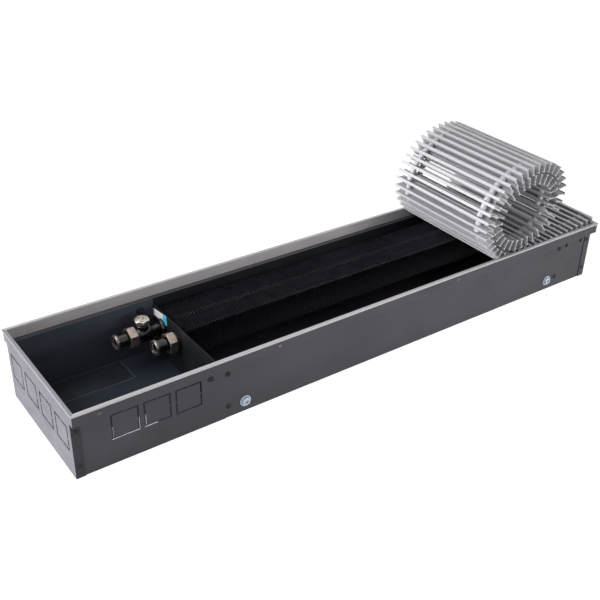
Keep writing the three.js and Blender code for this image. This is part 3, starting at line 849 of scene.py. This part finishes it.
def union_nut(node, name, body, y):
    """A hexagon nut, turned down at both ends, with a recessed mouth and a threaded bore."""
    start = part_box(node)[0][0] / MM
    near, far = start + 1, start + 14
    corner = NUT_FLATS / math.sqrt(3)
    profile = hexagon_end(near, NUT_TAPER, NUT_FLATS, NUT_TURN, NUT_RIM, corner)
    profile += hexagon_end(far - NUT_TAPER, NUT_TAPER, NUT_FLATS, NUT_TURN, corner, NUT_RIM)
    bore, groove, thread_pitch = 12.3, 12.75, 1.4
    profile += [(far, 12.9), (far - 0.6, bore)]
    distance = 13.2
    while distance > 6.6:
        profile += [(start + distance, bore), (start + distance - thread_pitch / 2, groove)]
        distance -= thread_pitch
    profile += [(start + 6, bore), (start + 6, 10.6), (start + 3.5, 10.6), (start + 3.5, 12.4),
                (near + 0.4, 12.6), (near, 13.0)]
    bm = bmesh.new()
    turned(bm, profile, (0, y, TUBE_Z), "x", sides=96, closed=True)
    piece(name, bm, [NICKEL], body, "nickel", node, smooth_deg=24)


def tailpiece(node, name, y):
    """A turned tailpiece: chamfered rim, slim neck, wide socket that steps down to its bore."""
    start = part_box(node)[0][0] / MM
    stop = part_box(node)[1][0] / MM
    ring_depth, core_depth = 2.1, 8.0
    profile = [
        (start + 0.4, 8.7), (start, 9.1), (start, 10.9), (start + 0.25, 11.3), (start + 1.4, 12.4),
        (start + 1.8, 12.5), (start + 3.9, 12.5), (start + 4.5, 12.2), (start + 4.9, 11.4),
        (start + 5.2, 10.5), (start + 6.0, 10.25), (stop - 2.8, 10.25), (stop - 2.6, 11.6),
        (stop, 11.6), (stop, 4.9), (start + 8.2, 4.9), (start + core_depth, 5.1),
        (start + core_depth, 6.1), (start + 7.8, 6.3), (start + 2.3, 6.5),
        (start + ring_depth, 6.7), (start + ring_depth, 8.2), (start + 2.3, 8.4),
        (start + 2.2, 8.6),
    ]

    def pick(centre, normal):
        """Bare metal on the two rings inside the socket, a smoked rim, black elsewhere."""
        radius = math.hypot(centre.y - y, centre.z - TUBE_Z)
        depth = centre.x - start
        ring = 6.7 < radius < 8.3 and abs(depth - ring_depth) < 0.05
        core = 5.0 < radius < 6.2 and abs(depth - core_depth) < 0.05
        if ring or core:
            return RING_NICKEL
        return SMOKED if depth < 5.2 and radius > 8.7 else BLACK_NICKEL

    bm = bmesh.new()
    turned(bm, profile, (0, y, TUBE_Z), "x", sides=56, closed=True)
    piece(name, bm, [BLACK_NICKEL, SMOKED, RING_NICKEL], "trough", "black_nickel", node,
          smooth_deg=32, pick=pick)


def thread(start, stop, crest, root, pitch=1.8):
    """Profile points of a row of thread ridges."""
    points = []
    for i in range(int((stop - start) / pitch)):
        at = start + i * pitch
        points += [(at, root), (at + pitch * 0.35, crest), (at + pitch * 0.65, crest)]
    points.append((stop, root))
    return points


def pipe_stub():
    """The threaded stub of the front tube, with its collar against the partition."""
    bm = bmesh.new()
    profile = [(-281, 7.9), (-281, 11.2)] + thread(-280.6, -274.6, 12.0, 11.3)
    profile += [(-274, 11.6), (-274, 13.4), (-273.5, 14.0), (-271.4, 14.0), (-271, 13.6),
                (-271, 8.3), (-272.8, 8.3), (-273, 7.9)]
    turned(bm, profile, (0, TUBE_YS[0], TUBE_Z), "x", sides=48, closed=True)
    piece("front_stub", bm, [TUBES], "trough", "nickel", "pipe_stub", smooth_deg=30)


def vent_tee():
    """The tee on the back tube: threaded run, round body, pipe to the partition, branch up."""
    y = TUBE_YS[1]
    thread_end = -315.6
    bm = bmesh.new()
    run = [(-323, 0), (-323, 11.3)] + thread(-322.6, thread_end, 12.0, 11.2)
    run += [(-315, 11.4), (-314, 12.2), (-313.2, 12.9), (-295, 12.9), (-294, 12.3), (-292, 9.6),
            (-290, 9.0), (-277.4, 9.0), (-277.4, 12.8), (-276.8, 13.6), (-276, 14.0),
            (-271.5, 14.0), (-271, 13.5), (-271, 0)]
    turned(bm, run, (0, y, TUBE_Z), "x", sides=56)
    branch = [(0, 0), (0, 10.0), (17.0, 10.0), (17.6, 9.4), (18.4, 9.4), (19.0, 9.9), (20.5, 9.9),
              (21, 9.5), (21, 0)]
    turned(bm, branch, (VENT_X, y, TUBE_Z), "z", sides=48)

    def pick(centre, normal):
        """Bare thread, black body."""
        return NICKEL if centre.x < thread_end else BLACK_NICKEL

    piece("vent_tee_body", bm, [BLACK_NICKEL, NICKEL], "trough", "black_nickel", "vent_tee",
          smooth_deg=32, pick=pick)


def vent_plug():
    """The hexagon plug of the air vent with its raised disc and two small dots."""
    x, y = VENT_X, TUBE_YS[1]
    corner = VENT_FLATS / math.sqrt(3)
    profile = [(76.5, 0), (76.5, hexagon(VENT_FLATS, VENT_TURN, corner - 0.4)),
               (76.9, hexagon(VENT_FLATS, VENT_TURN, corner))]
    profile += hexagon_end(80.7, 1.3, VENT_FLATS, VENT_TURN, corner, VENT_RIM)
    profile += [(82.05, 9.3), (82.2, 9.0), (82.9, 9.0), (83.1, 8.7), (83.1, 3.7), (82.8, 3.35),
                (79.0, 3.35), (79.0, 0)]
    bm = bmesh.new()
    turned(bm, profile, (x, y, 0), "z", sides=96, phase=VENT_TURN)
    for angle in (2.3, 5.6):
        place = (x + 6.2 * math.cos(angle), y + 6.2 * math.sin(angle), 0)
        turned(bm, [(83.0, 0), (83.0, 1.1), (83.15, 1.1), (83.15, 0)], place, "z", sides=20)

    def pick(centre, normal):
        """Smoked tops on the two dots, bright nickel elsewhere."""
        return SMOKED if centre.z > 83.12 else VENT_NICKEL

    piece("vent_cap", bm, [VENT_NICKEL, SMOKED], "trough", "nickel", "vent_plug", smooth_deg=24,
          pick=pick)


def vent_screw():
    """The vent's screw: a shank and two halves of a head on either side of its slot."""
    x, y = VENT_X, TUBE_YS[1]
    radius, slot_end, half_slot = 2.92, 2.86, 0.6
    first, step, count = 12, 13, 13  # degrees along each half of the head
    bm = bmesh.new()
    shank = [(79, 0), (79, 2.6), (79.4, 2.95), (83.4, 2.95), (83.4, 0)]
    turned(bm, shank, (x, y, 0), "z", sides=40)
    for side in (-1, 1):
        outline = [(slot_end * side, half_slot * side)]
        for i in range(count):
            angle = math.radians(first + i * step)
            outline.append((radius * math.cos(angle) * side,
                            max(half_slot, radius * math.sin(angle)) * side))
        outline.append((-slot_end * side, half_slot * side))
        prism(bm, outline, lambda a, b, c: ((x + a) * MM, (y + b) * MM, c * MM), 83.4, 84.6)
    piece("vent_screw", bm, [VENT_NICKEL], "bleed_screw", "nickel", "bleed_screw", smooth_deg=28)


for side, y in zip(("front", "back"), TUBE_YS):
    union_nut(f"union_nut_{side}", f"{side}_nut", f"nut_{side}", y)
for side, y in zip(("front", "back"), TUBE_YS):
    tailpiece(f"tailpiece_{side}", f"{side}_tail", y)
pipe_stub()
vent_tee()
vent_plug()
vent_screw()


# ---- bolts, screws and rivets

SIDES = (("-y", "y", -1), ("y", "-y", 1))  # outward axis, inward axis and sign of each wall
LIP_THICKNESS = 1.2
WALL_SCREWS = (  # of cross plates, end lips and flanges: xs, zs, y, radius, height, recess
    ((-266.7, 419.0), (75.2, 19.2), WALL_Y, 4.1, 1.9, True),
    ((-491.7, 491.7), (75.0, 17.3), WALL_Y + LIP_THICKNESS, 3.7, 1.6, True),
    ((-462, -187, 158, 470), (99.5,), FLANGE_Y, 2.8, 0.8, False),
)
TRIM_INNER_Y = 114.85
TRIM_RIVETS_Z = 98.5
TRIM_RIVETS = (("-y", TRIM_INNER_Y, (-468.5, -220, 158)), ("y", -TRIM_INNER_Y, (-462, -187, 158)))
HOLES_Z = 77.8
STUD_X = -294
PLUGS_X = (436, 475)


def foot_bolt(node, name):
    """A plated bolt: flat washer, domed head with a hexagon socket, and its shank."""
    low, high = (Vector(corner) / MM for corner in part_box(node))
    outward = "-y" if low.y < 0 else "y"
    x, z = (low.x + high.x) / 2, (low.z + high.z) / 2
    socket = hexagon(5, 0.0)
    place = (x, -WALL_Y if low.y < 0 else WALL_Y, z)
    bm = bmesh.new()
    turned(bm, [(0, 0), (0, 8.7), (0.3, 8.98), (1.3, 8.98), (1.6, 8.7), (1.6, 0)], place,
           outward, sides=56)
    turned(bm, [(1.61, 0), (1.61, 6.2), (2.0, 6.55), (3.6, 6.55), (4.4, 6.3), (5.0, 5.6),
                (5.3, 4.7), (5.4, 3.9), (5.4, 3.3), (5.1, socket), (3.9, socket), (3.8, 0)],
           place, outward, sides=60)
    turned(bm, [(-12, 0), (-12, 3.4), (-11.4, 3.95), (-0.01, 3.95), (-0.01, 0)], place,
           outward, sides=32)

    def pick(centre, normal):
        """Painted shade: darker zinc inside the socket."""
        depth = abs(centre.y) - WALL_Y
        radius = math.hypot(centre.x - x, centre.z - z)
        return ZINC_PAINTED_SHADE if 3.5 < depth < 5.2 and radius < 2.95 else ZINC

    piece(name, bm, [ZINC, ZINC_PAINTED_SHADE], "trough", "zinc", node, smooth_deg=32, pick=pick)


def pan_screw(bm, place, axis, radius, height, recess=True):
    """A small domed head, with a recess for a screw and without one for a rivet."""
    profile = [(0, 0), (0, radius)]
    steps = 5
    for step in range(1, steps + 1):
        angle = step / steps * math.pi / 2
        profile.append((height * (0.25 + 0.75 * math.sin(angle)),
                        radius * (1 - 0.45 * (1 - math.cos(angle)))))
    if recess:
        profile += [(height, radius * 0.30), (height * 0.45, radius * 0.18)]
    profile.append((profile[-1][0], 0))
    turned(bm, profile, place, axis, sides=28)


def wall_screws():
    """Black screws of the cross plates and end lips, and the rivets of the flanges."""
    bm = bmesh.new()
    for outward, _, side in SIDES:
        for xs, zs, y, radius, height, recess in WALL_SCREWS:
            for x in xs:
                for z in zs:
                    pan_screw(bm, (x, side * y, z), outward, radius, height, recess)

    def pick(centre, normal):
        """Paler rivets above the seat's height, black screws below it."""
        return RIVETS if centre.z > 90 else SCREWS_AND_SLIT_SHADE

    piece("wall_screws", bm, [SCREWS_AND_SLIT_SHADE, RIVETS], "trough", "black_steel", smooth_deg=40, pick=pick)


def trim_rivets():
    """Rivets on the inner faces of the long trim strips."""
    bm = bmesh.new()
    for axis, y, xs in TRIM_RIVETS:
        for x in xs:
            pan_screw(bm, (x, y, TRIM_RIVETS_Z), axis, 2.1, 0.7, False)
    piece("trim_rivets", bm, [TRIM], "trough", "trim_aluminium", smooth_deg=40)


def wall_studs():
    """A screw with its nut in each wall's hole by the unions, and plugs in the far holes."""
    bm = bmesh.new()
    nut_flats, nut_turn = 10, 0.4
    nut = hexagon(nut_flats, nut_turn)
    plug = [(1.0, 0), (0.9, 1.9), (1.1, 2.3), (1.1, 3.7), (1.19, 3.7), (1.2, 5.6), (2.2, 5.6),
            (2.5, 5.2), (2.5, 0)]
    for outward, inward, side in SIDES:
        place = (STUD_X, side * WALL_Y, HOLES_Z)
        pan_screw(bm, place, outward, 4.6, 2.2)
        turned(bm, [(0.01, 0), (0.01, 3.7), (1.19, 3.7), (1.19, 0)], place, inward, sides=24)
        turned(bm, [(1.2, 0), (1.2, 5.6), (1.6, 5.6), (1.61, hexagon(nut_flats, nut_turn, 5.5)),
                    (1.9, nut), (4.9, nut), (5.2, hexagon(nut_flats, nut_turn, 5.2)), (5.2, 2.9),
                    (8.2, 2.9), (8.7, 2.4), (8.7, 0)], place, inward, sides=48)
    for _, inward, side in SIDES:
        for x in PLUGS_X:
            turned(bm, plug, (x, side * WALL_Y, HOLES_Z), inward, sides=24)
    piece("wall_studs", bm, [SCREWS_AND_SLIT_SHADE], "trough", "black_steel", smooth_deg=35)


for side in ("front", "back"):
    for number in (1, 2):
        foot_bolt(f"foot_bolt_{side}_{number}", f"{side}_bolt_{number}")
wall_screws()
trim_rivets()
wall_studs()


# ---- bare label and film

FLOOR_TOP_Z = 1.2
FILM_LOW, FILM_HIGH = (-452.0, 52.0), (-334.0, 104.0)  # x and y
FILM_BORDER = 0.8


def bare_label():
    """A bare white label with a cyan end on the partition, beside its top edge."""
    corners = {"white": [(105.6, 75.4), (75.0, 80.0), (76.5, 64.6), (105.6, 64.0)],
               "cyan": [(75.0, 80.0), (64.4, 81.5), (62.6, 64.9), (76.5, 64.6)]}
    for name, mat in (("white", WHITE_FILM), ("cyan", CYAN_FILM)):
        bm = bmesh.new()
        prism(bm, corners[name], on_end, PARTITION_X - 0.02, PARTITION_X - 0.22)
        piece(f"partition_label_{name}", bm, [mat], "trough", "black_steel")


def floor_film():
    """A bare clear film on the floor of the connection compartment, with a thin border."""
    (x0, y0), (x1, y1) = FILM_LOW, FILM_HIGH
    bm = bmesh.new()
    box(bm, (x0, y0, FLOOR_TOP_Z + 0.01), (x1, y1, FLOOR_TOP_Z + 0.12))
    piece("floor_film", bm, [CLEAR_FILM], "trough", "black_steel")
    bm = bmesh.new()
    for low, high in (((x0, y0), (x1, y0 + FILM_BORDER)), ((x0, y1 - FILM_BORDER), (x1, y1)),
                      ((x0, y0), (x0 + FILM_BORDER, y1)), ((x1 - FILM_BORDER, y0), (x1, y1))):
        box(bm, (*low, FLOOR_TOP_Z + 0.13), (*high, FLOOR_TOP_Z + 0.18))
    piece("floor_film_border", bm, [LINE_FILM], "trough", "black_steel")


bare_label()
floor_film()


# ---- light, floor and camera

WHITE = (1, 1, 1, 1)
SKY_COLOUR, SKY_STRENGTH = (0.94, 0.96, 1.0, 1), 0.30
FLOOR_GLOW = 0.92
FLOOR_CATCH = (0.26, 0.26, 0.265, 1)  # how much of the lamps' light the seen floor shows
FLOOR_HALF = 30000

# name, place, target, size (all in metres), watts, colour, spread in degrees
LAMPS = (
    ("key", (-2.1, 0.4, 1.9), (-0.2, 0, 0.1), (1.8, 1.4), 50, (0.98, 0.98, 1.0), 180),
    ("low", (-2.4, 0.2, 0.32), (0, 0, 0.12), (1.8, 0.5), 54, (0.98, 0.98, 1.0), 180),
    ("top", (0.1, 0.6, 2.6), (0.0, 0, 0.05), (2.4, 1.6), 11, (0.95, 0.97, 1.0), 180),
    ("front", (0.60, -1.5, 0.30), (0.15, 0, -0.05), (1.0, 0.4), 2.1, (1.0, 0.99, 0.99), 60),
)

CAMERA_YAW, CAMERA_PITCH, CAMERA_ROLL = 37.0, -31.1, 1.97  # degrees
CAMERA_PLACE = (-0.8006, -1.0124, 0.8284)  # metres
SENSOR_WIDTH, FOCAL_LENGTH = 36, 55.34
SHIFT_X, SHIFT_Y = -15.5 / 600, 1.3 / 600  # pixels over the picture's width


def area_light(name, place, target, size, power, colour, spread):
    """A rectangular lamp that looks at its target."""
    data = bpy.data.lights.new(name, "AREA")
    data.spread = math.radians(spread)
    data.shape = "RECTANGLE"
    data.size, data.size_y = size
    data.energy = power
    data.color = colour
    light = bpy.data.objects.new(name, data)
    light.location = place
    aim = Vector(target) - Vector(place)
    light.rotation_euler = aim.to_track_quat("-Z", "Y").to_euler()
    bpy.context.scene.collection.objects.link(light)


def seen_directly(tree):
    """1 for camera, glossy and transmission rays, 0 for the rays that light the object."""
    path = tree.nodes.new("ShaderNodeLightPath")
    total = path.outputs["Is Camera Ray"]
    for ray in ("Is Glossy Ray", "Is Transmission Ray"):
        larger = tree.nodes.new("ShaderNodeMath")
        larger.operation = "MAXIMUM"
        tree.links.new(total, larger.inputs[0])
        tree.links.new(path.outputs[ray], larger.inputs[1])
        total = larger.outputs[0]
    return total


def by_ray(tree, lighting, seen, target):
    """Links one shader for rays that light the object and another for rays that see."""
    mix = tree.nodes.new("ShaderNodeMixShader")
    tree.links.new(seen_directly(tree), mix.inputs["Fac"])
    tree.links.new(lighting, mix.inputs[1])
    tree.links.new(seen, mix.inputs[2])
    tree.links.new(mix.outputs[0], target)


def background(tree, colour, strength):
    """A plain background shader."""
    node = tree.nodes.new("ShaderNodeBackground")
    node.inputs["Color"].default_value = colour
    node.inputs["Strength"].default_value = strength
    return node.outputs[0]


def sky():
    """White where it is seen, and dimmer and bluer as a light."""
    world = bpy.data.worlds.new("studio")
    bpy.context.scene.world = world
    world.use_nodes = True
    tree = world.node_tree
    tree.nodes.clear()
    out = tree.nodes.new("ShaderNodeOutputWorld")
    by_ray(tree, background(tree, SKY_COLOUR, SKY_STRENGTH), background(tree, WHITE, 1.0),
           out.inputs["Surface"])


def studio_floor():
    """A wide floor that looks white and takes hardly any shadow."""
    bm = bmesh.new()
    box(bm, (-FLOOR_HALF, -FLOOR_HALF, -20), (FLOOR_HALF, FLOOR_HALF, -0.5))
    mat, tree, shader = material("studio_floor", (0.93, 0.93, 0.93), roughness=0.9, specular=0.1)
    glow = tree.nodes.new("ShaderNodeEmission")
    glow.inputs["Color"].default_value = WHITE
    glow.inputs["Strength"].default_value = FLOOR_GLOW
    thin = tree.nodes.new("ShaderNodeBsdfDiffuse")
    thin.inputs["Color"].default_value = FLOOR_CATCH
    both = tree.nodes.new("ShaderNodeAddShader")
    tree.links.new(glow.outputs[0], both.inputs[0])
    tree.links.new(thin.outputs[0], both.inputs[1])
    by_ray(tree, shader.outputs[0], both.outputs[0],
           tree.nodes["Material Output"].inputs["Surface"])
    floor = new_object("studio_floor", bm, [mat])


def camera():
    """The camera at the photograph's viewing angle."""
    yaw, pitch, roll = (math.radians(a) for a in (CAMERA_YAW, CAMERA_PITCH, CAMERA_ROLL))
    forward = Vector((math.sin(yaw) * math.cos(pitch), math.cos(yaw) * math.cos(pitch),
                      math.sin(pitch)))
    right = Vector((math.cos(yaw), -math.sin(yaw), 0))
    up = right.cross(forward)
    turned_right = right * math.cos(roll) + up * math.sin(roll)
    turned_up = up * math.cos(roll) - right * math.sin(roll)
    data = bpy.data.cameras.new("camera")
    data.sensor_width = SENSOR_WIDTH
    data.lens = FOCAL_LENGTH
    data.shift_x = SHIFT_X
    data.shift_y = SHIFT_Y
    data.clip_start = 0.05
    data.clip_end = 100
    eye = bpy.data.objects.new("camera", data)
    basis = Matrix((turned_right, turned_up, -forward)).transposed().to_4x4()
    basis.translation = Vector(CAMERA_PLACE)
    eye.matrix_world = basis
    bpy.context.scene.collection.objects.link(eye)
    bpy.context.scene.camera = eye


sky()
studio_floor()
for lamp in LAMPS:
    area_light(*lamp)
camera()
bpy.context.scene.view_settings.view_transform = "Standard"
